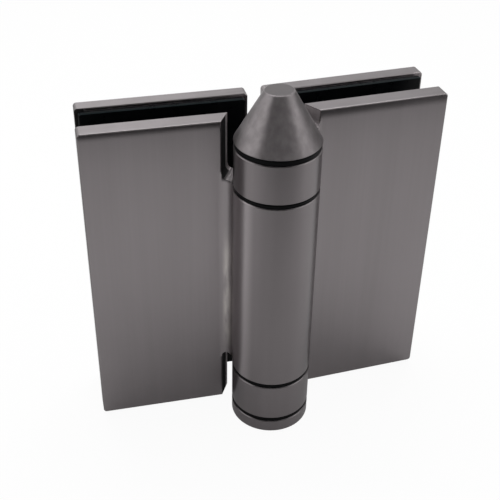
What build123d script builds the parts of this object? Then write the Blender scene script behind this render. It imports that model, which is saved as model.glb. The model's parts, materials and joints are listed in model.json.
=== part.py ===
from build123d import *
import os
from math import hypot, sqrt

# Glass gate hinge: two leaves that clamp glass panels, turning on a sprung barrel.
# Frame: +Z up along the pin line, origin on that line at the foot of the barrel.
# The post leaf lies along +X and the barrel stands in front of it, towards -Y.
# The gate leaf is drawn along +X too, then mirrored and turned to where its slack spring leaves it.

# Barrel, from the foot upwards
barrel_r = 16.0
foot_h = 6.0
ring_h = 1.8
lower_knuckle_h = 16.6
upper_knuckle_h = 15.5
cap_ring_h = 2.2
cone_h = 19.3
cone_top_r = 5.3
ring_inset = 0.3
end_play = 0.1

# Leaves
over_close = 4.0
leaf_reach = 70.2
plate_h = 132.0
plate_lift = 2.0
front_plate_t = 7.0
back_plate_t = 6.0
shoulder_drop = 7.2
rear_inset = 0.6
inner_gap = 19.0
inner_bevel = 3.9
back_setback = 0.8
back_split = 8.8
corner_r = 1.3
web_fillet_r = 4.5
notch_r = 3.0
notch_lift = 0.9

# Edges: rounded where a hand meets them, broken elsewhere
rim_round = 0.8
edge_r = 0.5
edge_break = 0.3
ring_round = 0.5

# Glass and its gaskets
glass_t = 10.0
gasket_t = 1.8
gasket_inset = 1.2
gasket_corner_r = 1.2
gasket_chamfer = 0.4

# Clamp screws, two to a leaf
clamp_x = 43.0
clamp_spacing = 70.0
clamp_r = 4.0
clamp_head_h = 4.0
head_sink = 0.3
clamp_skin = 2.0
clamp_hex = 5.0
clamp_hex_depth = 3.0
glass_bush_r = 7.0
glass_bush_play = 0.3

# Pivot, spindle and bushes
journal_r = 6.0
bush_wall = 2.0
bush_len = 8.0
head_step = 4.0
spindle_head_h = 7.2
knuckle_floor_t = 2.5
spindle_hex = 8.0
spindle_hex_depth = 5.0
tension_stops = 6
collar_h = 3.6
foot_spigot_grip = 0.6
cap_spigot_gap = 0.8

# Torsion spring and its anchor
spring_play = 0.7
wire_w = 3.0
wire_h = 4.4
coil_gap = 0.9
anchor_h = 8.0
tang_len = 5.0
key_depth = 3.4

# Grub screws and the foot screw
grub_r = 3.0
grub_hex = 3.0
grub_hex_depth = 2.5
dog_r = 1.7
dog_len = 1.0
foot_screw_r = 3.0
foot_screw_head_h = 3.0
foot_screw_len = 20.0
foot_hex = 4.0
foot_hex_depth = 2.4

# Clearances
fit_gap = 0.05
loose_gap = 0.3
cut_over = 1.0

# Heights along the barrel
plate_top = plate_lift + plate_h
lower_z = foot_h + ring_h
lower_top = lower_z + lower_knuckle_h
middle_z = lower_top + ring_h
upper_top = plate_top - shoulder_drop
upper_z = upper_top - upper_knuckle_h
middle_top = upper_z - ring_h
cone_z = upper_top + cap_ring_h
cone_top = cone_z + cone_h
flange_h = ring_h - end_play

# Where the plates and the glass lie
rear_y = barrel_r - rear_inset
front_y = rear_y - front_plate_t
back_y = rear_y + glass_t + 2 * gasket_t
back_rear_y = back_y + back_plate_t
web_fillet_x = sqrt((barrel_r + web_fillet_r) ** 2 - (front_y - web_fillet_r) ** 2)
rear_inner_x = inner_gap - inner_bevel
back_inner_x = back_split / 2
back_reach = leaf_reach - back_setback
plate_mid = plate_lift + plate_h / 2
clamp_heights = (plate_mid - clamp_spacing / 2, plate_mid + clamp_spacing / 2)

# Where the inner pieces sit
spring_mean_r = journal_r + spring_play + wire_w / 2
spring_bore_r = spring_mean_r + wire_w / 2 + spring_play
bush_r = spring_bore_r + bush_wall
cap_bore_r = journal_r + head_step
ring_r = barrel_r - ring_inset
lower_bush_top = middle_z + bush_len
upper_bush_low = middle_top - bush_len
anchor_z = lower_bush_top + loose_gap
anchor_top = anchor_z + anchor_h
spindle_seat = upper_z + knuckle_floor_t
spindle_head_top = spindle_seat + spindle_head_h
spindle_low = anchor_top + loose_gap
collar_z = lower_z + foot_spigot_grip
collar_top = collar_z + collar_h
pivot_grub_z = (collar_top + lower_top) / 2
tension_grub_z = (spindle_seat + spindle_head_top) / 2
anchor_grub_z = (anchor_z + anchor_top) / 2

# The spring's coil: as many turns as its length leaves room for
coil_z = anchor_top + loose_gap + wire_h / 2
coil_h = upper_bush_low - loose_gap - wire_h / 2 - coil_z
coil_pitch = wire_h + coil_gap
tang_angle = -360 * coil_h / coil_pitch

# Screw heads
clamp_head_r = clamp_r + clamp_head_h
foot_screw_head_r = foot_screw_r + foot_screw_head_h


def turned(*points):
    """A turned piece from its half section, given as (radius, height) points."""
    return revolve(Plane.XZ * make_face(Polyline(*points, close=True)), Axis.Z)


def disc(radius, low, high):
    return turned((0, low), (radius, low), (radius, high), (0, high))


def tube(inner, outer, low, high):
    return turned((inner, low), (outer, low), (outer, high), (inner, high))


def hex_prism(across_flats, low, high):
    flat = RegularPolygon(across_flats / 2, 6, major_radius=False)
    return Pos(0, 0, low) * extrude(flat, high - low)


def along_y(piece, x=0.0, z=0.0):
    """Lays a piece that was drawn up the Z axis along +Y, at a place on the leaf."""
    return Pos(x, 0, z) * Rot(-90, 0, 0) * piece


def at_clamps(piece):
    """One copy of a piece at each clamp screw."""
    return Part() + [along_y(piece, clamp_x, height) for height in clamp_heights]


def on_gate(piece):
    """Carries a piece drawn for the post side over to the gate leaf at rest."""
    return Rot(0, 0, -over_close) * mirror(piece, about=Plane.YZ)


def slab(outline, low_y, high_y):
    """A plate of an outline drawn in X and Z, between two depths."""
    return extrude(Plane((0, low_y, 0), x_dir=(1, 0, 0), z_dir=(0, -1, 0)) * outline, low_y - high_y)


def plain_front_plate():
    """The flat of a front plate: sloped inner end, round corners, front rim rounded and rear rim broken."""
    plan = make_face(
        Polyline(
            (inner_gap, front_y),
            (leaf_reach, front_y),
            (leaf_reach, rear_y),
            (rear_inner_x, rear_y),
            close=True,
        )
    )
    plate = Pos(0, 0, plate_lift) * extrude(plan, plate_h)
    plate = fillet(plate.edges().filter_by(Axis.Y), corner_r)
    rear = plate.faces().filter_by(Axis.Y).sort_by(Axis.Y)[-1]
    plate = chamfer(rear.edges(), edge_break)
    front = plate.faces().filter_by(Axis.Y).sort_by(Axis.Y)[0]
    return fillet(front.edges(), edge_r)


def web(low, high):
    """What joins a knuckle to its plate: a hollow fillet in front, round notches above and below."""
    reach = barrel_r + web_fillet_r
    on_plate = (web_fillet_x, front_y)
    on_barrel = (web_fillet_x * barrel_r / reach, (front_y - web_fillet_r) * barrel_r / reach)
    plan_lines = Polyline(
        on_barrel,
        (0, 0),
        (0, rear_y),
        (web_fillet_x, rear_y),
        on_plate,
    )
    hollow = RadiusArc(on_plate, on_barrel, -web_fillet_r)
    height = high - low + 2 * notch_r
    flat = Pos(0, 0, low - notch_r) * extrude(make_face([*plan_lines.edges(), hollow]), height)

    slope = inner_bevel / front_plate_t
    edge_x = inner_gap + slope * front_y
    start_x = -edge_x
    lap_x = edge_x + notch_r
    side_lines = [
        Polyline((edge_x - notch_r, low), (start_x, low), (start_x, high), (edge_x - notch_r, high)),
        RadiusArc((edge_x - notch_r, high), (edge_x, high + notch_r), -notch_r),
        Polyline(
            (edge_x, high + notch_r),
            (lap_x, high + notch_r),
            (lap_x, low - notch_r),
            (edge_x, low - notch_r),
        ),
        RadiusArc((edge_x, low - notch_r), (edge_x - notch_r, low), -notch_r),
    ]
    side = make_face([edge for line in side_lines for edge in line.edges()])
    sloped = extrude(Plane.XZ * side, rear_y * hypot(1, slope), dir=(-slope, 1, 0))
    return flat & sloped


def knuckle(low, high):
    """A solid length of the barrel with its end rims broken."""
    end_r = barrel_r - edge_break
    return turned(
        (0, low),
        (end_r, low),
        (barrel_r, low + edge_break),
        (barrel_r, high - edge_break),
        (end_r, high),
        (0, high),
    )


def front_leaf(spans, lift=0.0):
    """A front plate with a knuckle and a web at each span, and blind holes for the clamp screws."""
    leaf = plain_front_plate()
    for low, high in spans:
        leaf = leaf + web(low + lift, high + lift) + knuckle(low, high)
    for height in clamp_heights:
        leaf = leaf - along_y(disc(clamp_r + fit_gap, front_y + clamp_skin, rear_y), clamp_x, height)
    return leaf


def grub_hole(height):
    """A hole for a grub screw, from the pin line out through the back of a knuckle."""
    return along_y(disc(grub_r, 0, barrel_r + cut_over), z=height)


def post_front_plate():
    leaf = front_leaf([(lower_z, lower_top), (upper_z, upper_top)])
    leaf = leaf - disc(journal_r + fit_gap, lower_z, lower_top)
    leaf = leaf - disc(cap_bore_r, lower_z, collar_top)
    leaf = leaf - disc(journal_r + fit_gap, upper_z, upper_top)
    leaf = leaf - disc(cap_bore_r, spindle_seat, upper_top)
    return leaf - grub_hole(pivot_grub_z) - grub_hole(tension_grub_z)


def gate_front_plate():
    leaf = front_leaf([(middle_z, middle_top)], notch_lift)
    leaf = leaf - disc(barrel_r, middle_top, middle_top + ring_h)
    leaf = leaf - disc(spring_bore_r, middle_z, middle_top)
    leaf = leaf - disc(bush_r, middle_z, lower_bush_top)
    leaf = leaf - disc(bush_r, upper_bush_low, middle_top)
    return on_gate(leaf - grub_hole(anchor_grub_z))


def back_plate():
    """A back plate with countersunk holes for the clamp screws."""
    centre = Pos((back_inner_x + back_reach) / 2, plate_mid)
    plate = slab(centre * Rectangle(back_reach - back_inner_x, plate_h), back_y, back_rear_y)
    plate = fillet(plate.edges().filter_by(Axis.Y), corner_r)
    rear = plate.faces().sort_by(Axis.Y)[-1]
    plate = fillet(rear.edges(), edge_r)
    front = plate.faces().sort_by(Axis.Y)[0]
    plate = chamfer(front.edges(), edge_break)
    hole_r = clamp_r + loose_gap
    sink = turned(
        (0, back_y),
        (hole_r, back_y),
        (hole_r, back_rear_y - head_sink - clamp_head_r + hole_r),
        (clamp_head_r, back_rear_y - head_sink),
        (clamp_head_r, back_rear_y),
        (0, back_rear_y),
    )
    for height in clamp_heights:
        plate = plate - along_y(sink, clamp_x, height)
    return plate


def gasket(inner_x, outer_x, low_y, high_y, glass_side):
    """A flat gasket with a chamfered rim on its glass side and holes for the glass bushes."""
    width = outer_x - inner_x - 2 * gasket_inset
    centre = Pos((inner_x + outer_x) / 2, plate_mid)
    outline = centre * RectangleRounded(width, plate_h - 2 * gasket_inset, gasket_corner_r)
    pad = slab(outline, low_y, high_y)
    face = pad.faces().sort_by(Axis.Y)[glass_side]
    pad = chamfer(face.edges(), gasket_chamfer)
    for height in clamp_heights:
        pad = pad - along_y(disc(glass_bush_r + loose_gap, low_y, high_y), clamp_x, height)
    return pad


def front_gasket():
    return gasket(rear_inner_x, leaf_reach, rear_y, rear_y + gasket_t, -1)


def back_gasket():
    return gasket(back_inner_x, back_reach, back_y - gasket_t, back_y, 0)


def clamp_screws():
    """Countersunk screws with hex sockets, from the back plate into the front plate."""
    head_y = back_rear_y - head_sink
    tip_y = front_y + clamp_skin + loose_gap
    screw = turned(
        (0, tip_y),
        (clamp_r, tip_y),
        (clamp_r, head_y - clamp_head_r + clamp_r),
        (clamp_head_r - fit_gap, head_y - fit_gap),
        (clamp_head_r - fit_gap, head_y),
        (0, head_y),
    )
    screw = screw - hex_prism(clamp_hex, head_y - clamp_hex_depth, head_y)
    return at_clamps(screw)


def glass_bushes():
    bush = tube(clamp_r + loose_gap, glass_bush_r, rear_y + glass_bush_play, back_y - glass_bush_play)
    return at_clamps(bush)


def grub_screw(tip_y):
    """A headless screw along +Y with a dog point, its hex socket just under the barrel's back."""
    outer_y = barrel_r - loose_gap
    screw = turned(
        (0, tip_y),
        (dog_r, tip_y),
        (dog_r, tip_y + dog_len),
        (grub_r - fit_gap, tip_y + dog_len + grub_r - dog_r),
        (grub_r - fit_gap, outer_y),
        (0, outer_y),
    )
    return screw - hex_prism(grub_hex, outer_y - grub_hex_depth, outer_y)


def dimple(radius, height):
    """The pocket that a grub screw's dog point drops into, for a piece of the given radius."""
    return along_y(disc(dog_r + fit_gap, radius - dog_len, radius + dog_len), z=height)


def lower_pivot():
    pivot = turned(
        (0, collar_z),
        (cap_bore_r - fit_gap, collar_z),
        (cap_bore_r - fit_gap, collar_top),
        (journal_r, collar_top),
        (journal_r, lower_bush_top),
        (0, lower_bush_top),
    )
    pivot = pivot - disc(foot_screw_r + fit_gap, collar_z, foot_screw_len + loose_gap)
    return pivot - dimple(journal_r, pivot_grub_z)


def tension_spindle():
    """The spindle that winds the spring: socket head, ring of stops, keyway for the spring's upper end."""
    spindle = turned(
        (0, spindle_low),
        (journal_r, spindle_low),
        (journal_r, spindle_seat),
        (cap_bore_r - fit_gap, spindle_seat),
        (cap_bore_r - fit_gap, spindle_head_top),
        (0, spindle_head_top),
    )
    spindle = spindle - hex_prism(spindle_hex, spindle_head_top - spindle_hex_depth, spindle_head_top)
    stop = dimple(cap_bore_r - fit_gap, tension_grub_z)
    for step in range(tension_stops):
        spindle = spindle - Rot(0, 0, 360 / tension_stops * step) * stop
    keyway = Pos(journal_r - key_depth, 0, spindle_low) * Box(
        key_depth + cut_over,
        wire_w + 2 * loose_gap,
        upper_bush_low - spindle_low,
        align=(Align.MIN, Align.CENTER, Align.MIN),
    )
    return spindle - Rot(0, 0, tang_angle) * keyway


def torsion_spring():
    """A left-hand spring of oblong wire, with its lower end in the anchor and its upper end in the keyway."""
    coil = Helix(coil_pitch, coil_h, spring_mean_r, center=(0, 0, coil_z), lefthand=True)
    section = Plane(coil @ 0, x_dir=(1, 0, 0), z_dir=coil % 0) * Rectangle(wire_w, wire_h)
    spring = sweep(section, path=coil, is_frenet=True)
    tang = Pos(spring_mean_r, 0, anchor_top - tang_len) * Box(
        wire_w, wire_w, tang_len + loose_gap + wire_h, align=(Align.CENTER, Align.CENTER, Align.MIN)
    )
    key_end = journal_r - key_depth + loose_gap
    key = Pos(key_end, 0, coil_z + coil_h) * Box(
        spring_mean_r + wire_w / 2 - key_end, wire_w, wire_h, align=(Align.MIN, Align.CENTER, Align.CENTER)
    )
    return spring + tang + Rot(0, 0, tang_angle) * key


def spring_anchor():
    """The collar that holds the spring's lower end inside the middle knuckle."""
    collar = tube(journal_r + loose_gap, spring_bore_r - fit_gap, anchor_z, anchor_top)
    pocket = Pos(spring_mean_r, 0, anchor_top - tang_len - loose_gap) * Box(
        wire_w + 2 * fit_gap,
        wire_w + 2 * fit_gap,
        tang_len + loose_gap + cut_over,
        align=(Align.CENTER, Align.CENTER, Align.MIN),
    )
    return collar - pocket - on_gate(dimple(spring_bore_r - fit_gap, anchor_grub_z))


def round_rim(piece):
    """Rounds the outer rim of a black ring."""
    rim = [edge for edge in piece.edges().filter_by(GeomType.CIRCLE) if abs(edge.radius - ring_r) < fit_gap]
    return fillet(rim, ring_round)


def ring(low, high):
    return round_rim(tube(cap_bore_r, ring_r, low, high))


def bush(seat, inner_end, outer_end):
    """A flanged bush in one end of the middle knuckle: its flange is a black ring of the barrel."""
    sleeve = turned(
        (journal_r + fit_gap, inner_end),
        (bush_r - fit_gap, inner_end),
        (bush_r - fit_gap, seat),
        (ring_r, seat),
        (ring_r, outer_end),
        (journal_r + fit_gap, outer_end),
    )
    return round_rim(sleeve)


def cone_cap():
    cap = turned(
        (0, spindle_head_top + cap_spigot_gap),
        (cap_bore_r - fit_gap, spindle_head_top + cap_spigot_gap),
        (cap_bore_r - fit_gap, cone_z),
        (barrel_r - edge_break, cone_z),
        (barrel_r, cone_z + edge_break),
        (cone_top_r, cone_top),
        (0, cone_top),
    )
    top_rim = cap.edges().filter_by(GeomType.CIRCLE).sort_by(Axis.Z)[-1]
    return fillet(top_rim, rim_round)


def foot_cap():
    foot = turned(
        (0, 0),
        (barrel_r - rim_round, 0),
        (barrel_r, rim_round),
        (barrel_r, foot_h - edge_break),
        (barrel_r - edge_break, foot_h),
        (cap_bore_r - fit_gap, foot_h),
        (cap_bore_r - fit_gap, collar_z),
        (0, collar_z),
    )
    hole_r = foot_screw_r + loose_gap
    sink = turned(
        (0, 0),
        (foot_screw_head_r, 0),
        (foot_screw_head_r, head_sink),
        (hole_r, head_sink + foot_screw_head_r - hole_r),
        (hole_r, collar_z),
        (0, collar_z),
    )
    return foot - sink


def foot_screw():
    head_r = foot_screw_head_r - fit_gap
    screw = turned(
        (0, head_sink),
        (head_r, head_sink),
        (head_r, head_sink + fit_gap),
        (foot_screw_r, head_sink + fit_gap + head_r - foot_screw_r),
        (foot_screw_r, foot_screw_len),
        (0, foot_screw_len),
    )
    return screw - hex_prism(foot_hex, head_sink, head_sink + foot_hex_depth)


pieces = {
    "post_front_plate": post_front_plate(),
    "post_back_plate": back_plate(),
    "post_front_gasket": front_gasket(),
    "post_back_gasket": back_gasket(),
    "post_clamp_screws": clamp_screws(),
    "post_glass_bushes": glass_bushes(),
    "gate_front_plate": gate_front_plate(),
    "gate_back_plate": on_gate(back_plate()),
    "gate_front_gasket": on_gate(front_gasket()),
    "gate_back_gasket": on_gate(back_gasket()),
    "gate_clamp_screws": on_gate(clamp_screws()),
    "gate_glass_bushes": on_gate(glass_bushes()),
    "lower_bush": bush(middle_z, lower_bush_top, middle_z - flange_h),
    "upper_bush": bush(middle_top, upper_bush_low, middle_top + flange_h),
    "lower_pivot": lower_pivot(),
    "tension_spindle": tension_spindle(),
    "torsion_spring": torsion_spring(),
    "spring_anchor": spring_anchor(),
    "pivot_grub_screw": along_y(grub_screw(journal_r - dog_len + fit_gap), z=pivot_grub_z),
    "tension_grub_screw": along_y(grub_screw(cap_bore_r - dog_len), z=tension_grub_z),
    "anchor_grub_screw": on_gate(along_y(grub_screw(spring_bore_r - dog_len), z=anchor_grub_z)),
    "cap_ring": ring(upper_top, cone_z),
    "cone_cap": cone_cap(),
    "foot_ring": ring(foot_h, lower_z),
    "foot_cap": foot_cap(),
    "foot_screw": foot_screw(),
}

os.makedirs("parts", exist_ok=True)
for name, piece in pieces.items():
    export_step(piece, f"parts/{name}.step")
    print(name, len(piece.solids()), round(piece.volume))
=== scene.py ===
# %% [markdown]
# # A sprung hinge for a frameless glass gate
#
# Two pairs of metal plates clamp two sheets of glass, and the knuckles between them turn on a
# barrel with a torsion spring inside. The solids come from the CAD model and stay as they are.
# Blender's work is what the eye reads off them: brushed and turned metal, black rubber, and the
# light of a small studio. The frame is in metres, so a length in millimetres is written with MM.

# %% Load the frame
import json
import math
from types import SimpleNamespace

import bmesh
import bpy
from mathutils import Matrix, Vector


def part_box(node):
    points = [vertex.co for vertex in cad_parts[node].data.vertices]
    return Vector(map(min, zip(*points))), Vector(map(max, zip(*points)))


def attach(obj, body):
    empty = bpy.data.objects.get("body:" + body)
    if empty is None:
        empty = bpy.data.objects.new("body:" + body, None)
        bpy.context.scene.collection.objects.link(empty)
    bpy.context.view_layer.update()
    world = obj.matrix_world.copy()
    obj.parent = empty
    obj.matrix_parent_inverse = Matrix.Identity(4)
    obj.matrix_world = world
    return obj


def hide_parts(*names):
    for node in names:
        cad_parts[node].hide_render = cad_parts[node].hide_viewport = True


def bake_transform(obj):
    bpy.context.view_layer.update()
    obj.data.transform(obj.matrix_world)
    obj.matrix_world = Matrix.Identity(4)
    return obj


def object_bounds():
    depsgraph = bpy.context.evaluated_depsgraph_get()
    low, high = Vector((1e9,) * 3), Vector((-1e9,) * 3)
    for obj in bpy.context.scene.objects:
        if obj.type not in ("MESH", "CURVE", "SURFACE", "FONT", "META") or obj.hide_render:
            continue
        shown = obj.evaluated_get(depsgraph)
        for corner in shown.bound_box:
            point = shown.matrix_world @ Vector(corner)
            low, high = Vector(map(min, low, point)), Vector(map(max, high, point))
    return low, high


MM = 0.001
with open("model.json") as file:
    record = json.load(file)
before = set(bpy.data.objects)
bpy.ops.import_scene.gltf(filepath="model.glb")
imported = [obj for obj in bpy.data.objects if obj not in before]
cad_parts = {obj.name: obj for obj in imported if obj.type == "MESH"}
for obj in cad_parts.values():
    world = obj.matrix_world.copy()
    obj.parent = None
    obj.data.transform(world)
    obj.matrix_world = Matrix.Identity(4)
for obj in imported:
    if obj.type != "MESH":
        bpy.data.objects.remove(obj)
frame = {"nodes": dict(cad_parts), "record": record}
bpy.context.view_layer.update()
nodes = frame["nodes"]
mounts = {mount["name"]: mount for mount in frame["record"]["mounts"]}
cad_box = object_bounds()
print(f"{len(nodes)} CAD pieces, {(cad_box[1] - cad_box[0]) / MM} mm")

# %% [markdown]
# ## Camera
#
# The hinge was photographed from its front, a little to the left and well above it. A long lens
# keeps the upright edges nearly parallel, yet the plates still narrow towards the floor. A camera
# could be aimed at the hinge by a Track To constraint. Here its place, its two angles and its lens
# were fitted together, so they are written down as one set of values. Blender's camera looks down
# its own -Z, so a level view is a quarter turn about X.

# %% Camera
camera_place = Vector((-99.137, -280.006, 286.382)) * MM
view_azimuth = -16.05
view_elevation = 34.65
# Blender takes the lens and the sensor in millimetres.
lens_length = 67.7
sensor_w = 36
picture_shift = 0.0446
nearest_seen = 10 * MM

camera = bpy.data.objects.new("camera", bpy.data.cameras.new("camera"))
camera.location = camera_place
camera.rotation_euler = (math.radians(90 - view_elevation), 0, math.radians(view_azimuth))
camera.data.sensor_width = sensor_w
camera.data.lens = lens_length
camera.data.shift_x = picture_shift
camera.data.clip_start = nearest_seen
bpy.context.scene.collection.objects.link(camera)
bpy.context.scene.camera = camera
# Standard shows a colour as it is written, without the curve of a film.
bpy.context.scene.view_settings.view_transform = "Standard"
print("camera", tuple(round(x, 3) for x in camera.location))

# %% [markdown]
# ## A small kit for node materials
#
# Every finish below is a tree of shader nodes. Such a tree can be drawn by hand in the Shader
# Editor, but as text it can be read, repeated and changed by its numbers. Making one node takes
# three steps: add it, set its options, then fill or link its sockets. add_node does all three. Each
# of the other helpers stands for one kind of node, so that a finish reads as a list of what it is
# made of.

# %% Node helpers
# A Mix node has its own pair of inputs, and its own output, for each kind of data.
mix_sockets = {"FLOAT": (2, 3, 0), "VECTOR": (4, 5, 1), "RGBA": (6, 7, 2)}


def add_node(tree, kind, inputs, **settings):
    """One new node: a socket given as an input becomes a link, any other value is set on it."""
    node = tree.nodes.new(kind)
    for name, value in settings.items():
        setattr(node, name, value)
    for key, value in inputs.items():
        if isinstance(value, bpy.types.NodeSocket):
            tree.links.new(value, node.inputs[key])
        else:
            node.inputs[key].default_value = value
    return node


def maths(tree, operation, *values):
    """The result of one Math node."""
    return add_node(tree, "ShaderNodeMath", dict(enumerate(values)), operation=operation).outputs[0]


def vector_maths(tree, operation, *vectors):
    """One Vector Math node."""
    return add_node(tree, "ShaderNodeVectorMath", dict(enumerate(vectors)), operation=operation)


def blend(tree, kind, share, low, high):
    """low where share is 0 and high where it is 1."""
    low_socket, high_socket, output = mix_sockets[kind]
    inputs = {0: share, low_socket: low, high_socket: high}
    return add_node(tree, "ShaderNodeMix", inputs, data_type=kind).outputs[output]


def blend_float(tree, share, low, high):
    """A blend of two numbers."""
    return blend(tree, "FLOAT", share, low, high)


def blend_vector(tree, share, low, high):
    """A blend of two vectors."""
    return blend(tree, "VECTOR", share, low, high)


def blend_colour(tree, share, low, high):
    """A blend of two colours, written as linear red, green and blue."""
    low, high = [c if isinstance(c, bpy.types.NodeSocket) else (*c, 1) for c in (low, high)]
    return blend(tree, "RGBA", share, low, high)


def ramp(tree, value, start, end, low=0.0, high=1.0):
    """A smooth step from low to high while value goes from start to end."""
    inputs = {"Value": value, "From Min": start, "From Max": end, "To Min": low, "To Max": high}
    return add_node(tree, "ShaderNodeMapRange", inputs, interpolation_type="SMOOTHSTEP").outputs[0]


kit = add_node, maths, vector_maths, blend_float, blend_vector, blend_colour, ramp
print("node helpers", [helper.__name__ for helper in kit])

# %% [markdown]
# Noise is what scratches, clouds and pores are made from. With unequal waves along X, Y and Z it is
# drawn out into streaks. Its values hardly leave the range from 0.3 to 0.7, so a ramp over that range
# uses nearly all of a scale.

# %% Noise and new finishes
noise_range = 0.3, 0.7


def stretched_noise(tree, place, waves, detail=2.0):
    """Noise with its own number of waves per metre along X, Y and Z."""
    stretched = add_node(tree, "ShaderNodeMapping", {"Vector": place, "Scale": waves}).outputs[0]
    inputs = {"Vector": stretched, "Scale": 1.0, "Detail": detail}
    return add_node(tree, "ShaderNodeTexNoise", inputs).outputs[0]


def new_finish(name):
    """A material with only a Principled shader: returns it, its tree, its shader and Object coordinates."""
    material = bpy.data.materials.new(name)
    material.use_nodes = True
    tree = material.node_tree
    tree.nodes.clear()
    shader = tree.nodes.new("ShaderNodeBsdfPrincipled")
    output = tree.nodes.new("ShaderNodeOutputMaterial")
    tree.links.new(shader.outputs[0], output.inputs["Surface"])
    place = tree.nodes.new("ShaderNodeTexCoord").outputs["Object"]
    return material, tree, shader, place


def link(tree, shader, **sockets):
    """Links each socket to the shader input of that name, with spaces for underscores."""
    for name, socket in sockets.items():
        tree.links.new(socket, shader.inputs[name.replace("_", " ")])


def set_up(shader, **values):
    """Sets each shader input of that name, with spaces for underscores."""
    for name, value in values.items():
        shader.inputs[name.replace("_", " ")].default_value = value


print("noise between", *noise_range)

# %% [markdown]
# ## Satin metal
#
# The plates, knuckles, cone and foot have one plated finish, a warm dark nickel. The flat plates
# were brushed up and down, and the round pieces were finished on a lathe, so their scratches run
# round the axis. Each way of working could have a material of its own, but a plate and its knuckles
# are one solid. So one material tells its faces apart by place, in Object coordinates, which move
# with the piece when the gate swings. The hinge's axis is the Z axis of the frame: the distance from
# it tells what was turned from what was brushed. A mask is a number from 0 to 1 that says how much
# a point belongs to a face, and two masks multiplied give what they have in common.

# %% Places on the metal
barrel_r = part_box("foot_cap")[1].x
plate_starts = 0.1 * MM
plate_whole = 1.2 * MM
level_range = 0.75, 0.95
cone_range = 0.2, 0.4
gate_normal = mounts["gate_glass_holes"]["axis"]
gate_along = (gate_normal[1], -gate_normal[0], 0)


def product(tree, *masks):
    """What all the masks have in common."""
    total = masks[0]
    for mask in masks[1:]:
        total = maths(tree, "MULTIPLY", total, mask)
    return total


def opposite(tree, mask):
    """The rest of a mask."""
    return maths(tree, "SUBTRACT", 1.0, mask)


def dot(tree, vector, direction):
    """How far a vector goes in a direction."""
    return vector_maths(tree, "DOT_PRODUCT", vector, direction).outputs["Value"]


def metal_places(tree, place, normal):
    """Where a point is on its leaf, and the masks of the faces that every metal piece has."""
    at = SimpleNamespace()
    at.x, at.y, at.z = add_node(tree, "ShaderNodeSeparateXYZ", {0: place}).outputs
    at.is_gate = maths(tree, "LESS_THAN", at.x, 0.0)
    at.along = maths(tree, "ABSOLUTE", blend_float(tree, at.is_gate, at.x, dot(tree, place, gate_along)))
    at.depth = blend_float(tree, at.is_gate, at.y, dot(tree, place, gate_normal))
    from_axis = vector_maths(tree, "MULTIPLY", place, (1, 1, 0)).outputs[0]
    at.off_axis = vector_maths(tree, "LENGTH", from_axis).outputs["Value"]
    at.is_plate = ramp(tree, at.off_axis, barrel_r + plate_starts, barrel_r + plate_whole)
    up = maths(tree, "ABSOLUTE", dot(tree, normal, (0, 0, 1)))
    at.is_level = ramp(tree, up, *level_range)
    sloping = ramp(tree, up, *cone_range)
    at.is_cone = product(tree, sloping, opposite(tree, at.is_level), opposite(tree, at.is_plate))
    return at


print("barrel radius", barrel_r, "depth of the gate leaf along", gate_normal)

# %% [markdown]
# Painted light and shade lie on the inner ends beside the barrel. Painted light makes the post
# leaf's end pale and matt, and painted shade makes the gate leaf's end nearly black but for a pale,
# matt strip of painted light beside the slot. The rim of the slot at the far ends gets painted light
# on the post leaf and painted shade on the gate leaf in the same way, and the far ends themselves
# get painted shade, a little darker than the plates. These places could be painted on a UV map by
# hand. Masks that are worked out from the boxes of the pieces need no map, and most of them follow
# when a size of the CAD model changes.

# %% Ends of the leaves
leaf_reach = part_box("post_front_plate")[1].x
slot_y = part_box("post_back_plate")[0].y
web_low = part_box("lower_bush")[0].z
web_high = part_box("upper_bush")[1].z
web_middle = (web_low + web_high) / 2
web_half = (web_high - web_low) / 2
web_soft = 2.2 * MM
inner_x = 19.0 * MM
inner_soft = 0.3 * MM
inner_y = 22 * MM
matt_depth = 2.9 * MM
matt_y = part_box("post_front_plate")[1].y - matt_depth
matt_soft = 0.4 * MM
far_strip = 5 * MM
far_soft = 1 * MM
rim_half = 0.45 * MM
rim_whole = 0.25 * MM
side_range = 0.3, 0.8
# How fully the painted shade replaces the metal at its darkest places.
painted_shade_share = 0.94


def distance(tree, value, centre):
    """How far a value is from a centre, on either side."""
    return maths(tree, "ABSOLUTE", maths(tree, "SUBTRACT", value, centre))


def mark_ends(tree, at, own_normal):
    """Adds the masks of painted light and painted shade on the ends of a leaf."""
    upright = opposite(tree, at.is_level)
    in_front = maths(tree, "LESS_THAN", at.depth, inner_y)
    near_barrel = ramp(tree, at.along, inner_x, inner_x - inner_soft)
    past_web = ramp(tree, distance(tree, at.z, web_middle), web_half - web_soft, web_half)
    is_end = product(tree, near_barrel, in_front, upright, at.is_plate, past_web)
    is_front = product(tree, at.is_gate, ramp(tree, at.depth, matt_y + matt_soft, matt_y))
    is_far = ramp(tree, at.along, leaf_reach - far_strip, leaf_reach - far_strip + far_soft)
    in_slot = ramp(tree, distance(tree, at.depth, slot_y), rim_half, rim_whole)
    is_rim = product(tree, in_slot, is_far, upright)
    # Painted light: pale on the post leaf's inner end, on the gate leaf's strip beside the slot, and on the
    # post leaf's slot rim.
    painted_light_end = product(tree, is_end, opposite(tree, is_front))
    painted_light_rim = product(tree, is_rim, opposite(tree, at.is_gate))
    at.is_milled = maths(tree, "MAXIMUM", painted_light_end, painted_light_rim)
    # Painted shade: nearly black on the front of the gate leaf's inner end and on the rim of its slot.
    dark = maths(tree, "MAXIMUM", product(tree, is_end, is_front), product(tree, is_rim, at.is_gate))
    at.is_dark = maths(tree, "MULTIPLY", dark, painted_shade_share)
    # Painted shade on the sideways faces and rounded edges of the far ends.
    post_side = dot(tree, own_normal, (1, 0, 0))
    gate_side = dot(tree, own_normal, gate_along)
    sideways = maths(tree, "ABSOLUTE", blend_float(tree, at.is_gate, post_side, gate_side))
    at.is_far_end = product(tree, ramp(tree, sideways, *side_range), is_far, upright)


print("leaf reach", leaf_reach, "slot at", slot_y, "web from", web_low, "to", web_high)
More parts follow.
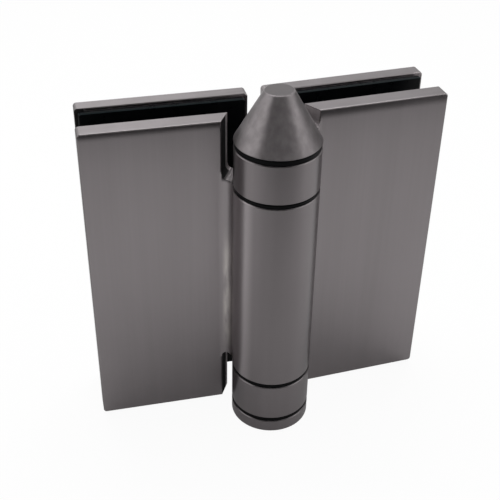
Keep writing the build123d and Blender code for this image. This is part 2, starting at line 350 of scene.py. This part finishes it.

# %% [markdown]
# In the hollow between the gate's plate and its knuckle a broken pale streak shows, partly wear and
# partly a painted highlight, and the side of the knuckle that faces the hollow gets a paler painted
# highlight. Wear could be brushed on by hand in Texture Paint, but it would then be a picture beside
# the file. So both are masks again, the streak with a patchy noise in it.

# %% Wear and painted highlights
streak_reach = 20.8 * MM
hollow_soft = 2 * MM
streak_z = 56 * MM
streak_half = 36 * MM
streak_whole = streak_half / 3
streak_waves = (260, 260, 70)
streak_range = 0.3, 0.62
flank_highlight_range = 0.72, 0.96


def wear_and_highlight_streak(tree, place, at):
    """The streak in the gate's hollow: partly wear, partly a painted highlight."""
    patches = ramp(tree, stretched_noise(tree, place, streak_waves, detail=3), *streak_range)
    in_hollow = ramp(tree, at.off_axis, streak_reach, streak_reach - hollow_soft)
    in_reach = ramp(tree, distance(tree, at.z, streak_z), streak_half, streak_whole)
    return product(tree, patches, in_hollow, in_reach, at.is_gate)


def flank_highlight(tree, at):
    """The side of the gate's knuckle that faces the hollow, where a highlight is painted."""
    leftwards = maths(tree, "DIVIDE", maths(tree, "MULTIPLY", at.x, -1.0), at.off_axis)
    on_knuckle = maths(tree, "LESS_THAN", distance(tree, at.z, web_middle), web_half)
    return product(tree, ramp(tree, leftwards, *flank_highlight_range), on_knuckle)


print("worn from", streak_z - streak_half, "to", streak_z + streak_half)

# %% [markdown]
# The scratches could come from a picture wrapped round each piece, but noise has no seams and no
# edge. It is drawn out along the brush or round the lathe, and it varies the colour, the roughness
# and a very small bump. Wider noise adds the slow bands and clouds that plating has.

# %% Grain
brush_waves = (900, 900, 14)
top_waves = (14, 900, 900)
lathe_waves = (20, 20, 2400)
lathe_swing = 0.42, 0.58
band_waves = (160, 160, 5)
cloud_waves = (28, 28, 20)
cloud_share = 0.5
grain_share = 0.3


def brush_marks(tree, place, at):
    """The scratches of the brush and the lathe, and the slow changes of tone, both from 0 to 1."""
    upright = stretched_noise(tree, place, brush_waves, detail=3)
    lengthwise = stretched_noise(tree, place, top_waves, detail=3)
    turned = ramp(tree, stretched_noise(tree, place, lathe_waves), 0.0, 1.0, *lathe_swing)
    brushed = blend_float(tree, at.is_level, upright, lengthwise)
    grain = blend_float(tree, at.is_plate, turned, brushed)
    bands = stretched_noise(tree, place, band_waves, detail=1)
    clouds = stretched_noise(tree, place, cloud_waves)
    slow = blend_float(tree, cloud_share, bands, clouds)
    return grain, blend_float(tree, grain_share, slow, grain)


print("brush marks", brush_waves, "lathe marks", lathe_waves)

# %% [markdown]
# Each kind of face has a dark and a light tone, and the grain runs between the two. The brushed
# faces are lighter than the turned ones, the sawn upper edges and the faced ends are darker, and the
# cone is blotched. Over these lie a pale streak in the gate's hollow, partly wear and partly a
# painted highlight, a painted highlight on the knuckle beside it, and painted light and shade on
# the ends of the leaves, where the far ends take the faced tone as painted shade.

# %% Colour
turned_tones = (0.172, 0.158, 0.161), (0.198, 0.181, 0.186)
cone_tones = (0.16, 0.147, 0.15), (0.2, 0.184, 0.188)
brushed_tones = (0.212, 0.195, 0.199), (0.245, 0.225, 0.231)
sawn_tones = (0.152, 0.14, 0.143), (0.176, 0.162, 0.166)
# The faced ends of the barrel; on the far ends of the plates this tone is painted shade.
faced_and_shade_tones = (0.1, 0.092, 0.094), (0.117, 0.107, 0.11)
# Painted light on the pale ends and slot rim.
painted_light_tones = (0.5, 0.464, 0.473), (0.62, 0.576, 0.587)
# Painted highlight on the knuckle's flank beside the hollow.
flank_highlight_tones = (0.315, 0.289, 0.295), (0.362, 0.331, 0.34)
# Partly wear and partly a painted highlight in the gate's hollow.
wear_and_highlight_colour = (0.42, 0.39, 0.375)
# Painted shade on the black ends and slot rim of the gate leaf.
painted_shade_colour = (0.012, 0.012, 0.0125)
faint_range = 0.15, 0.85
blotch_waves = (420, 420, 260)


def plated_colour(tree, place, at, tone):
    """The colour of the metal: each line lays one more kind of face over the lines before it."""
    faint = ramp(tree, tone, *faint_range)
    strong = ramp(tree, tone, *noise_range)
    blotches = ramp(tree, stretched_noise(tree, place, blotch_waves, detail=3), *noise_range)
    faced_and_shade = blend_colour(tree, strong, *faced_and_shade_tones)
    turned = blend_colour(tree, strong, *turned_tones)
    turned = blend_colour(tree, at.is_cone, turned, blend_colour(tree, blotches, *cone_tones))
    # Painted highlight on the flank of the gate's knuckle beside the hollow.
    turned = blend_colour(tree, flank_highlight(tree, at), turned, blend_colour(tree, strong, *flank_highlight_tones))
    barrel = blend_colour(tree, at.is_level, turned, faced_and_shade)
    plate = blend_colour(tree, faint, *brushed_tones)
    # A pale streak in the hollow, partly wear and partly a painted highlight.
    plate = blend_colour(tree, wear_and_highlight_streak(tree, place, at), plate, wear_and_highlight_colour)
    # Painted shade on the far ends, in the faced tone.
    plate = blend_colour(tree, at.is_far_end, plate, faced_and_shade)
    # Painted light on the pale ends and slot rim.
    plate = blend_colour(tree, at.is_milled, plate, blend_colour(tree, strong, *painted_light_tones))
    # Painted shade on the gate leaf's inner end and slot rim.
    plate = blend_colour(tree, at.is_dark, plate, painted_shade_colour)
    plate = blend_colour(tree, at.is_level, plate, blend_colour(tree, strong, *sawn_tones))
    return blend_colour(tree, at.is_plate, barrel, plate)


print("brushed", brushed_tones, "turned", turned_tones)

# %% [markdown]
# The upper edge of each plate looks eased by hand: over four or five millimetres it falls away by
# less than three tenths of one. The CAD model has the round of the edge itself. A bevel could carry
# on from it, but the fall is too gentle to change the outline, so a bump tilts the surface there.
# Its height goes with the third power of the way up, so its slope goes with the second and starts
# softly.

# %% Roughness and relief
plate_roughness = 0.3
turned_roughness = 0.3
cone_roughness = 0.4
faced_roughness = 0.5
# The places of painted light are also matt.
matt_end_roughness = 0.75
roughness_swing = 0.015
plate_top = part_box("post_front_plate")[1].z
gate_rim_w = 3.7 * MM
post_rim_w = 5.0 * MM
gate_rim_tilt = math.tan(math.radians(8.5))
post_rim_tilt = math.tan(math.radians(12))
rim_stop = 0.5 * MM
scratch_depth = 0.02 * MM
scratch_strength = 0.01


def plated_roughness(tree, at, grain):
    """How matt each face is, a little uneven with the scratches."""
    turned = blend_float(tree, at.is_cone, turned_roughness, cone_roughness)
    turned = blend_float(tree, at.is_level, turned, faced_roughness)
    plate = blend_float(tree, at.is_milled, plate_roughness, matt_end_roughness)
    roughness = blend_float(tree, at.is_plate, turned, plate)
    swing = ramp(tree, grain, *noise_range, -roughness_swing, roughness_swing)
    return maths(tree, "ADD", roughness, swing)


def plated_relief(tree, at, grain):
    """The eased upper edge of the plates, and the scratches over it."""
    rim_w = blend_float(tree, at.is_gate, post_rim_w, gate_rim_w)
    tilt = product(tree, blend_float(tree, at.is_gate, post_rim_tilt, gate_rim_tilt), at.is_plate)
    rim = maths(tree, "ADD", maths(tree, "DIVIDE", maths(tree, "SUBTRACT", at.z, plate_top), rim_w), 1.0)
    stop = opposite(tree, maths(tree, "DIVIDE", rim_stop, rim_w))
    rim = maths(tree, "MINIMUM", maths(tree, "MAXIMUM", rim, 0.0), stop)
    fall = product(tree, rim, rim, rim, rim_w, tilt, -1 / 3)
    eased = add_node(tree, "ShaderNodeBump", {"Height": fall, "Strength": 1.0, "Distance": 1.0}).outputs[0]
    scratches = {"Height": grain, "Strength": scratch_strength, "Distance": scratch_depth, "Normal": eased}
    return add_node(tree, "ShaderNodeBump", scratches).outputs[0]


print("plate top", plate_top, "eased over", gate_rim_w, "and", post_rim_w)

# %% [markdown]
# A mirror with scratches spreads a reflection across them and hardly along them. The bump alone
# would need far finer scratches than a picture can hold, so the Principled shader does it with its
# anisotropy. That draws a highlight out along the Tangent, so the Tangent points across the
# scratches: along the axis on the barrel, and level on the upright faces of the plates.

# %% Satin metal
scratch_anisotropy = 0.75


def scratch_direction(tree, at, normal):
    """The direction across the scratches of each face."""
    across = vector_maths(tree, "CROSS_PRODUCT", normal, (0, 0, 1)).outputs[0]
    plate = blend_vector(tree, at.is_level, across, (0, 1, 0))
    barrel = blend_vector(tree, at.is_level, (0, 0, 1), (1, 0, 0))
    return blend_vector(tree, at.is_plate, barrel, plate)


def satin_metal():
    """The plated finish of the plates, knuckles, cone and foot."""
    material, tree, shader, place = new_finish("satin_metal")
    normal = tree.nodes.new("ShaderNodeNewGeometry").outputs["Normal"]
    own_normal = tree.nodes.new("ShaderNodeTexCoord").outputs["Normal"]
    at = metal_places(tree, place, normal)
    mark_ends(tree, at, own_normal)
    grain, tone = brush_marks(tree, place, at)
    link(tree, shader, Base_Color=plated_colour(tree, place, at, tone))
    link(tree, shader, Roughness=plated_roughness(tree, at, grain), Normal=plated_relief(tree, at, grain))
    # Where shade is painted, the metal gives way to a dull black.
    link(tree, shader, Tangent=scratch_direction(tree, at, normal), Metallic=opposite(tree, at.is_dark))
    set_up(shader, Anisotropic=scratch_anisotropy, Specular_IOR_Level=0.0)
    return material


finishes = {"satin_metal": satin_metal()}
print("satin metal", len(finishes["satin_metal"].node_tree.nodes), "nodes")

# %% [markdown]
# ## Rubber and plastic
#
# The gaskets that hold the glass are black rubber with a highlight painted on the chamfer of their
# upper edges, and the thin rings between the knuckles are a harder black plastic. Either could be
# one flat black. But black is far darker than it looks at first, and it only reads as black when
# nearly all the light that leaves it is gloss. So the colours are very dark, the gloss is weak, and
# a noise makes both uneven: pores in the rubber, and fine marks round the rings.

# %% Rubber and plastic
mottle_waves = (260, 260, 260)
pore_waves = (2600, 2600, 2600)
pore_depth = 0.03 * MM
pore_strength = 0.15
rubber_tones = (0.0022, 0.0026, 0.0034), (0.0048, 0.0056, 0.0068)
# A highlight painted on the chamfer of the gaskets.
chamfer_highlight_colour = (0.016, 0.022, 0.024)
chamfer_starts = 0.35, 0.6
chamfer_ends = 0.95, 0.8
rubber_roughness = 0.26, 0.36
ring_waves = (40, 40, 2400)
ring_tones = (0.0025, 0.0026, 0.003), (0.005, 0.0052, 0.0058)
ring_roughness = 0.3, 0.4


def gasket_rubber():
    """Black rubber, with a highlight painted on the chamfer of its upper edge."""
    material, tree, shader, place = new_finish("gasket_rubber")
    mottle = stretched_noise(tree, place, mottle_waves, detail=4)
    pores = stretched_noise(tree, place, pore_waves)
    relief = {"Height": pores, "Strength": pore_strength, "Distance": pore_depth}
    up = dot(tree, tree.nodes.new("ShaderNodeNewGeometry").outputs["Normal"], (0, 0, 1))
    is_chamfer = product(tree, ramp(tree, up, *chamfer_starts), ramp(tree, up, *chamfer_ends))
    rubber = blend_colour(tree, mottle, *rubber_tones)
    # Painted highlight on the chamfer.
    link(tree, shader, Base_Color=blend_colour(tree, is_chamfer, rubber, chamfer_highlight_colour))
    link(tree, shader, Roughness=ramp(tree, mottle, *noise_range, *rubber_roughness))
    link(tree, shader, Normal=add_node(tree, "ShaderNodeBump", relief).outputs[0])
    set_up(shader, Specular_IOR_Level=0.12)
    return material


def ring_plastic():
    """Black plastic with the marks of the lathe."""
    material, tree, shader, place = new_finish("ring_plastic")
    turned = stretched_noise(tree, place, ring_waves)
    link(tree, shader, Base_Color=blend_colour(tree, turned, *ring_tones))
    link(tree, shader, Roughness=ramp(tree, turned, *noise_range, *ring_roughness))
    set_up(shader, Specular_IOR_Level=0.05)
    return material


finishes["gasket_rubber"] = gasket_rubber()
finishes["ring_plastic"] = ring_plastic()
print("finishes", list(finishes))

# %% [markdown]
# ## Plain steel and nylon
#
# Inside and behind are stainless screws, an oiled spring and pale nylon bushes that keep the screws
# off the glass. A plain colour would do for pieces this small, but a little noise keeps them from
# looking like paint. The two steels differ only in tone and roughness, so one function makes both.

# %% Plain steel and nylon
scratch_waves = (1500, 1500, 1500)
steel_swing = 0.06
nylon_waves = (300, 300, 300)
nylon_tones = (0.62, 0.6, 0.54), (0.7, 0.68, 0.62)
nylon_roughness = 0.38, 0.5


def steel(name, dark, light, roughness):
    """Bare steel with fine scratches in every direction."""
    material, tree, shader, place = new_finish(name)
    scratches = stretched_noise(tree, place, scratch_waves, detail=3)
    swing = roughness - steel_swing, roughness + steel_swing
    link(tree, shader, Base_Color=blend_colour(tree, scratches, dark, light))
    link(tree, shader, Roughness=ramp(tree, scratches, *noise_range, *swing))
    set_up(shader, Metallic=1.0)
    return material


def bush_nylon():
    """Pale plastic, faintly uneven."""
    material, tree, shader, place = new_finish("glass_bush_plastic")
    mottle = stretched_noise(tree, place, nylon_waves, detail=3)
    link(tree, shader, Base_Color=blend_colour(tree, mottle, *nylon_tones))
    link(tree, shader, Roughness=ramp(tree, mottle, *noise_range, *nylon_roughness))
    return material


finishes["screw_steel"] = steel("screw_steel", (0.29, 0.28, 0.275), (0.36, 0.35, 0.34), 0.3)
finishes["spring_steel"] = steel("spring_steel", (0.12, 0.115, 0.11), (0.2, 0.19, 0.18), 0.36)
finishes["glass_bush_plastic"] = bush_nylon()

# A CAD piece arrives with a plain material that has the name of its slot.
for piece in nodes.values():
    slot = piece.material_slots[0].material.name
    piece.material_slots[0].material = finishes[slot]
print({name: piece.material_slots[0].material.name for name, piece in nodes.items()})

# %% [markdown]
# ## Screw threads
#
# Eight screws hold the hinge together: two clamp screws in each leaf, three grub screws that lock
# what is inside the barrel, and one screw in the foot. Their shanks are plain in the CAD model. A
# thread is one fine ridge wound round a shank. It could be worked out point by point in Python, but
# it follows a rule, and a small Geometry Nodes tree says that rule directly. A spiral curve is swept
# with a small diamond, half of it sunk in the shank, and the result is placed on every point of a
# carrier mesh and turned to the screw's axis. The sizes are inputs, so one tree makes all eight.

# %% Thread tree
points_per_turn = 24
diamond_points = 4


def thread_tree():
    """One right-handed ridge at each vertex of the carrier, wound along Axis."""
    tree = bpy.data.node_groups.new("screw_thread", "GeometryNodeTree")
    sizes = {"Radius": "NodeSocketFloat", "Ridge": "NodeSocketFloat", "Pitch": "NodeSocketFloat"}
    others = {"Length": "NodeSocketFloat", "Axis": "NodeSocketVector", "Material": "NodeSocketMaterial"}
    for name, kind in {"Carrier": "NodeSocketGeometry", **sizes, **others}.items():
        tree.interface.new_socket(name, in_out="INPUT", socket_type=kind)
    tree.interface.new_socket("Threads", in_out="OUTPUT", socket_type="NodeSocketGeometry")
    given = tree.nodes.new("NodeGroupInput").outputs
    turns = maths(tree, "DIVIDE", given["Length"], given["Pitch"])
    winding = {"Resolution": points_per_turn, "Rotations": turns, "Height": given["Length"]}
    # The Spiral node winds left-handed as it rises, so it is reversed.
    winding.update({"Start Radius": given["Radius"], "End Radius": given["Radius"], "Reverse": True})
    spiral = add_node(tree, "GeometryNodeCurveSpiral", winding).outputs[0]
    level = add_node(tree, "GeometryNodeSetCurveNormal", {"Curve": spiral}, mode="Z_UP").outputs[0]
    section = {"Resolution": diamond_points, "Radius": given["Ridge"]}
    diamond = add_node(tree, "GeometryNodeCurvePrimitiveCircle", section).outputs[0]
    swept = {"Curve": level, "Profile Curve": diamond, "Fill Caps": True}
    ridge = add_node(tree, "GeometryNodeCurveToMesh", swept).outputs[0]
    turn = add_node(tree, "FunctionNodeAlignRotationToVector", {"Vector": given["Axis"]}, axis="Z").outputs[0]
    placed = {"Points": given["Carrier"], "Instance": ridge, "Rotation": turn}
    copies = add_node(tree, "GeometryNodeInstanceOnPoints", placed).outputs[0]
    whole = add_node(tree, "GeometryNodeRealizeInstances", {"Geometry": copies}).outputs[0]
    finish = {"Geometry": whole, "Material": given["Material"]}
    made = add_node(tree, "GeometryNodeSetMaterial", finish).outputs[0]
    add_node(tree, "NodeGroupOutput", {"Threads": made})
    return tree


thread_nodes = thread_tree()
print("thread tree", [item.name for item in thread_nodes.interface.items_tree])

# %% [markdown]
# Each group of like screws is one carrier: a mesh of bare points with the tree on it as a modifier.
# The modifier's inputs are set by the identifiers of their sockets, and the result is copied to a
# plain mesh, because the export keeps no instances.

# %% Threads of like screws
ridge_h = 0.2 * MM


def threads(points, axis, radius, pitch, length):
    """The threads of like screws, from their start points along the axis, as a plain mesh."""
    points_mesh = bpy.data.meshes.new("thread_carrier")
    points_mesh.from_pydata(points, [], [])
    carrier = bpy.data.objects.new("thread_carrier", points_mesh)
    bpy.context.scene.collection.objects.link(carrier)
    modifier = carrier.modifiers.new("screw_thread", "NODES")
    modifier.node_group = thread_nodes
    values = {"Radius": radius, "Ridge": ridge_h, "Pitch": pitch, "Length": length, "Axis": axis}
    values["Material"] = finishes["screw_steel"]
    for item in thread_nodes.interface.items_tree:
        if item.name in values:
            modifier[item.identifier] = values[item.name]
    bpy.context.view_layer.update()
    made = bpy.data.meshes.new_from_object(carrier.evaluated_get(bpy.context.evaluated_depsgraph_get()))
    bpy.data.objects.remove(carrier)
    return made


print("ridge of a thread", ridge_h)

# %% [markdown]
# A thread has to lie on its own shank. Its place could be typed in, but it comes from the frame: a
# clamp screw lies on the line of its glass hole, a grub screw points at the pin line from the back,
# and the foot screw stands in the pin line itself.

# %% Places of the screws
clamp_r = 4.0 * MM
clamp_pitch = 1.25 * MM
clamp_thread = 12 * MM
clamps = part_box("post_clamp_screws")
clamp_head_r = (clamps[1].x - clamps[0].x) / 2
clamp_heights = (clamps[0].z + clamp_head_r, clamps[1].z - clamp_head_r)
clamp_tip = mounts["post_glass_holes"]["pos_m"][1] - clamps[0].y
grub_pitch = 1.0 * MM
grub_point = 2.5 * MM
grub_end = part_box("pivot_grub_screw")[1].y
foot_screw_r = 3.0 * MM
foot_thread_len = 11 * MM


def clamp_threads(leaf):
    """The threads of a leaf's two clamp screws, from their tips."""
    hole = mounts[f"{leaf}_glass_holes"]
    axis = Vector(hole["axis"])
    tip = Vector(hole["pos_m"]) - axis * clamp_tip
    starts = [(tip.x, tip.y, height) for height in clamp_heights]
    return threads(starts, axis, clamp_r, clamp_pitch, clamp_thread)


def grub_threads(leaf, name):
    """The thread of one grub screw, from behind its dog point to its socket end."""
    axis = Vector(mounts[f"{leaf}_glass_holes"]["axis"])
    low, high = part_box(name)
    centre = (low + high) / 2
    tip = 2 * centre.dot(axis) - grub_end
    start = axis * (tip + grub_point)
    length = grub_end - tip - grub_point - ridge_h
    return threads([(start.x, start.y, centre.z)], axis, (high.z - low.z) / 2, grub_pitch, length)


def foot_thread():
    """The thread of the foot screw, up to its end in the pivot."""
    start = (0, 0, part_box("foot_screw")[1].z - foot_thread_len)
    return threads([start], Vector((0, 0, 1)), foot_screw_r, grub_pitch, foot_thread_len)


print("clamp screws at", clamp_heights, "grub screws end at", grub_end)

# %% [markdown]
# The threads of one body become one piece, which rides on that body and so swings with its screws.
# A sweep can leave the faces of a ridge inside out, so their normals are worked out again.

# %% Thread pieces
grub_names = {"post": ("pivot_grub_screw", "tension_grub_screw"), "gate": ("anchor_grub_screw",)}


def thread_piece(leaf, meshes):
    """All the threads of one body, as one piece that rides on it."""
    joined = bmesh.new()
    for mesh in meshes:
        joined.from_mesh(mesh)
    bmesh.ops.recalc_face_normals(joined, faces=joined.faces)
    whole = bpy.data.meshes.new(f"{leaf}_screw_threads")
    joined.to_mesh(whole)
    joined.free()
    whole.materials.append(finishes["screw_steel"])
    piece = bpy.data.objects.new(whole.name, whole)
    bpy.context.scene.collection.objects.link(piece)
    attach(piece, f"{leaf}_leaf")
    corners = [tuple(round(v / MM, 2) for v in corner) for corner in piece.bound_box]
    print(piece.name, len(whole.polygons), "faces, from", corners[0], "to", corners[6])


for leaf, names in grub_names.items():
    meshes = [clamp_threads(leaf)] + [grub_threads(leaf, name) for name in names]
    if leaf == "post":
        meshes.append(foot_thread())
    thread_piece(leaf, meshes)

# %% [markdown]
# ## Torsion spring
#
# The spring sits inside the barrel, its lower end in the gate leaf and its upper end in the spindle
# of the post leaf. When the gate swings, it winds up: each turn follows the gate a little less than
# the turn below it. As a rigid piece its upper end would cut into the spindle. Here its CAD mesh is
# copied, with its doubled points merged, into a rigid piece of its own that does not wind, and the
# CAD piece is hidden.

# %% Torsion spring
merge_reach = 0.001 * MM

spring_form = bmesh.new()
spring_form.from_mesh(nodes["torsion_spring"].data)
bmesh.ops.remove_doubles(spring_form, verts=spring_form.verts, dist=merge_reach)
spring_mesh = bpy.data.meshes.new("winding_spring")
spring_form.to_mesh(spring_mesh)
spring_form.free()
spring_mesh.materials.append(finishes["spring_steel"])
spring = bpy.data.objects.new("winding_spring", spring_mesh)
bpy.context.scene.collection.objects.link(spring)
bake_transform(spring)
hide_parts("torsion_spring")

# %% [markdown]
# ## Studio
#
# Metal is drawn by what it reflects, so the studio is a part of the finish. The floor and the world
# could be made white by more light, but that would bleach the hinge. Instead they show white of
# their own to the rays that come from the camera, and some or all of it to reflections. The rest of
# the floor is lit as any pale floor is, and keeps the hinge's shadow.

# %% Floor and world
floor_white = (0.9, 0.9, 0.9, 1)
plain_white = (1, 1, 1, 1)
floor_seen_white = {"Is Camera Ray": 0.95, "Is Glossy Ray": 0.2, "Is Transmission Ray": 0.2}
world_seen_white = {"Is Camera Ray": 1.0, "Is Glossy Ray": 1.0, "Is Transmission Ray": 1.0}
world_fill = 0.22
floor_half = 3.0
floor_gap = 0.02 * MM
floor_z = cad_box[0].z - floor_gap


def seen_share(tree, shares):
    """The share of plain white that each kind of ray sees."""
    rays = tree.nodes.new("ShaderNodeLightPath").outputs
    total = 0.0
    for name, share in shares.items():
        total = maths(tree, "ADD", total, maths(tree, "MULTIPLY", rays[name], share))
    return maths(tree, "MINIMUM", total, 1.0)


def floor_finish():
    """A pale floor, with plain white over it for the rays that see it."""
    material = bpy.data.materials.new("studio_floor")
    material.use_nodes = True
    tree = material.node_tree
    tree.nodes.clear()
    lit = add_node(tree, "ShaderNodeBsdfDiffuse", {"Color": floor_white}).outputs[0]
    white = add_node(tree, "ShaderNodeEmission", {"Color": plain_white, "Strength": 1.0}).outputs[0]
    both = {0: seen_share(tree, floor_seen_white), 1: lit, 2: white}
    mixed = add_node(tree, "ShaderNodeMixShader", both).outputs[0]
    add_node(tree, "ShaderNodeOutputMaterial", {"Surface": mixed})
    return material


def sheet_object(name, corners, material):
    """One flat four-cornered sheet that belongs to the studio."""
    mesh = bpy.data.meshes.new(name)
    mesh.from_pydata(corners, [], [(0, 1, 2, 3)])
    mesh.materials.append(material)
    sheet = bpy.data.objects.new(name, mesh)
    bpy.context.scene.collection.objects.link(sheet)
    return sheet


floor_corners = [(x * floor_half, y * floor_half, floor_z) for x, y in ((-1, -1), (1, -1), (1, 1), (-1, 1))]
sheet_object("studio_floor", floor_corners, floor_finish())

world = bpy.data.worlds.new("studio_world")
world.use_nodes = True
bpy.context.scene.world = world
world_tree = world.node_tree
world_tree.nodes.clear()
strength = blend_float(world_tree, seen_share(world_tree, world_seen_white), world_fill, 1.0)
sky = add_node(world_tree, "ShaderNodeBackground", {"Color": plain_white, "Strength": strength}).outputs[0]
add_node(world_tree, "ShaderNodeOutputWorld", {"Surface": sky})
print("floor at", floor_z)

# %% [markdown]
# Four soft lamps give the metal its bright places: one on each side, one behind, and one high up at
# the back for the tops and the upper edges. A bare point lamp would leave hard spots on the barrel,
# so each is a wide area lamp. It is placed by its angle from the camera's view and turned to face
# the hinge.

# %% Lamps
hinge_middle = (cad_box[0] + cad_box[1]) / 2


def outwards(azimuth, elevation):
    """The direction from the hinge to a place at that angle, counted from the camera's side."""
    turn = math.radians(view_azimuth + azimuth)
    rise = math.radians(elevation)
    return Vector((math.sin(turn) * math.cos(rise), -math.cos(turn) * math.cos(rise), math.sin(rise)))


def softbox(name, azimuth, elevation, reach, width, height, radiance):
    """A soft lamp that faces the hinge; radiance 1 is about as bright as a white page."""
    lamp = bpy.data.lights.new(name, "AREA")
    lamp.shape = "RECTANGLE"
    lamp.size = width
    lamp.size_y = height
    lamp.energy = radiance * math.pi * width * height
    lamp_object = bpy.data.objects.new(name, lamp)
    away = outwards(azimuth, elevation)
    lamp_object.location = hinge_middle + away * reach
    lamp_object.rotation_euler = away.to_track_quat("Z", "Y").to_euler()
    lamp_object.visible_camera = False
    bpy.context.scene.collection.objects.link(lamp_object)


softbox("left_softbox", azimuth=-88, elevation=26, reach=0.5, width=0.55, height=0.5, radiance=0.62)
softbox("right_softbox", azimuth=84, elevation=38, reach=0.5, width=0.42, height=0.5, radiance=0.6)
softbox("back_softbox", azimuth=-153, elevation=36, reach=0.7, width=0.5, height=0.35, radiance=0.5)
softbox("top_softbox", azimuth=180, elevation=71, reach=0.8, width=0.6, height=0.5, radiance=6.0)
print("lamps", [lamp.name for lamp in bpy.data.lights])

# %% [markdown]
# Dark cards give the metal its darker places. They could be plain black, but the cone slopes back
# and so reflects a place higher up than the barrel does, where it needs something pale. So they are
# dark felt with one pale stripe above the height of the hinge. A card's hard side would show on the
# barrel as a line, so the felt of the front card and the ceiling thins out to nothing on the left
# and right.

# %% Card felt
felt_waves = (40, 40, 40)
felt_tones = (0.04, 0.04, 0.04), (0.06, 0.06, 0.06)
stripe_colour = (0.8, 0.8, 0.8)
stripe_low = 175 * MM
stripe_high = 330 * MM
stripe_soft = 30 * MM
card_left_x = -640 * MM
card_right_x = 330 * MM
card_soft = 130 * MM


def card_finish(name, soft_sides):
    """Dark felt with a pale stripe; with soft_sides it thins out to nothing at the left and right."""
    material, tree, shader, place = new_finish(name)
    x, _, height = add_node(tree, "ShaderNodeSeparateXYZ", {0: place}).outputs
    felt = blend_colour(tree, stretched_noise(tree, place, felt_waves), *felt_tones)
    above_low = ramp(tree, height, stripe_low, stripe_low + stripe_soft)
    below_high = ramp(tree, height, stripe_high, stripe_high - stripe_soft)
    is_stripe = product(tree, above_low, below_high)
    link(tree, shader, Base_Color=blend_colour(tree, is_stripe, felt, stripe_colour))
    set_up(shader, Roughness=0.9, Specular_IOR_Level=0.1)
    if soft_sides:
        in_from_left = ramp(tree, x, card_left_x, card_left_x + card_soft)
        in_from_right = ramp(tree, x, card_right_x, card_right_x - card_soft)
        solid = product(tree, in_from_left, in_from_right)
        clear = tree.nodes.new("ShaderNodeBsdfTransparent").outputs[0]
        mixed = add_node(tree, "ShaderNodeMixShader", {0: solid, 1: clear, 2: shader.outputs[0]}).outputs[0]
        link(tree, tree.nodes["Material Output"], Surface=mixed)
    return material


dark_felt = card_finish("dark_card", soft_sides=False)
soft_felt = card_finish("soft_card", soft_sides=True)
print("felt", dark_felt.name, soft_felt.name)

# %% [markdown]
# One card stands in front, where a photographer would, one is the ceiling over it, and a low one
# stands on the right. Only reflections see the cards: the camera looks through them, they cast no
# shadow, and diffuse light passes them by.

# %% Cards
card_y = -262 * MM
card_top_z = 700 * MM
ceiling_back_y = 90 * MM
side_x = 400 * MM
side_near_y = -80 * MM
side_far_y = 500 * MM
side_top_z = 185 * MM
front = [
    (card_left_x, card_y, floor_z),
    (card_right_x, card_y, floor_z),
    (card_right_x, card_y, card_top_z),
    (card_left_x, card_y, card_top_z),
]
ceiling = [
    (card_left_x, card_y, card_top_z),
    (card_right_x, card_y, card_top_z),
    (card_right_x, ceiling_back_y, card_top_z),
    (card_left_x, ceiling_back_y, card_top_z),
]
side = [
    (side_x, side_near_y, floor_z),
    (side_x, side_far_y, floor_z),
    (side_x, side_far_y, side_top_z),
    (side_x, side_near_y, side_top_z),
]
cards = {
    "front_card": (front, soft_felt),
    "ceiling_card": (ceiling, soft_felt),
    "side_card": (side, dark_felt),
}
for name, (corners, felt) in cards.items():
    card = sheet_object(name, corners, felt)
    card.visible_camera = False
    card.visible_shadow = False
    card.visible_diffuse = False
print("cards", list(cards))
